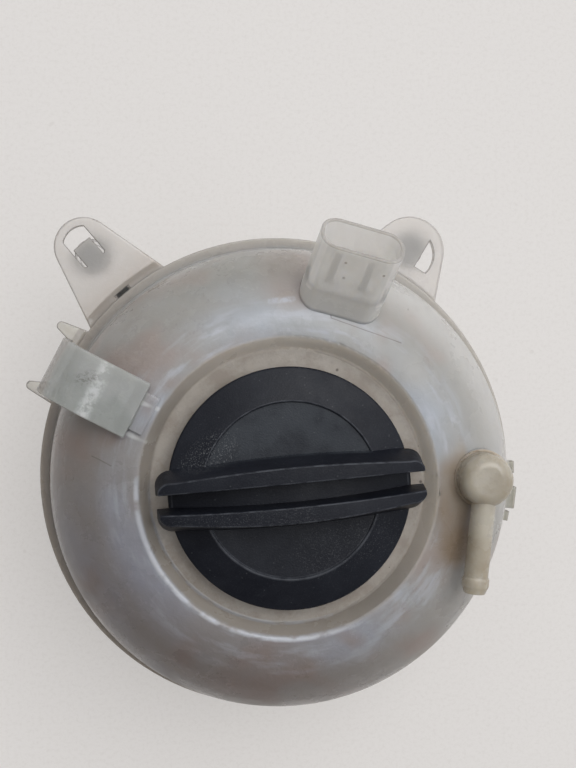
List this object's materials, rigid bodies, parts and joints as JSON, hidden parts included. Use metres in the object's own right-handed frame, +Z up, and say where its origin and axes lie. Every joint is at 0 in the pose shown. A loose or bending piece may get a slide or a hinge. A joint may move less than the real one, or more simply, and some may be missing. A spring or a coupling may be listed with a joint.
{
  "type": "coolant expansion tank",
  "caption": "Round translucent coolant expansion tank of welded shells, closed by a black screw cap with grip bars, with a hose elbow, slanted sensor socket, hose clip and mounting ears.",
  "frame": {"origin": "middle of the flat foot of the lower shell, on the cap's axis", "axes": "+Z up along the cap's axis; +X along the line the hose elbow stands on; +Y towards the ears"},
  "size_m": [0.1748, 0.1755, 0.1245],
  "materials": {
    "tank_plastic": "milky, satin",
    "elbow_plastic": "milky, satin",
    "cap_plastic": "fine grain",
    "valve_plastic": "satin",
    "seal_rubber": "matt",
    "spring_steel": "drawn wire",
    "pin_steel": "plated, dull"
  },
  "bodies": {
    "tank": {"upper_shell": "tank_plastic", "lower_shell": "tank_plastic", "hose_elbow": "elbow_plastic", "sensor_pin_left": "pin_steel", "sensor_pin_right": "pin_steel"},
    "valve_insert": {"valve_housing": "valve_plastic", "upper_o_ring": "seal_rubber", "lower_o_ring": "seal_rubber", "neck_seal": "seal_rubber", "spring_retainer": "valve_plastic", "pressure_spring": "spring_steel"},
    "cap": {"cap_shell": "cap_plastic"},
    "pressure_valve": {"pressure_plate": "valve_plastic", "pressure_seal": "seal_rubber", "vacuum_spring": "spring_steel"},
    "vacuum_valve": {"vacuum_disc": "valve_plastic", "vacuum_seal": "seal_rubber", "stem_clip": "spring_steel"}
  },
  "joints": [
    {"name": "cap_lift", "type": "slide", "parent": "tank", "child": "valve_insert", "axis": [0, 0, 1], "range_m": [0, 0.009]},
    {"name": "cap_turn", "type": "hinge", "parent": "valve_insert", "child": "cap", "pos_m": [0, 0, 0.1], "axis": [0, 0, 1], "range_deg": [0, 540]},
    {"name": "pressure_valve_lift", "type": "slide", "parent": "valve_insert", "child": "pressure_valve", "axis": [0, 0, 1], "range_m": [0, 0.003], "stiffness_N_per_m": 2500, "deforming": ["pressure_spring"]},
    {"name": "vacuum_valve_drop", "type": "slide", "parent": "pressure_valve", "child": "vacuum_valve", "axis": [0, 0, -1], "range_m": [0, 0.002], "stiffness_N_per_m": 100, "springref_m": -0.0003, "deforming": ["vacuum_spring"]}
  ],
  "couplings": [
    {"joint": "cap_lift", "follows": "cap_turn", "m_per_rad": 0.00095493}
  ]
}
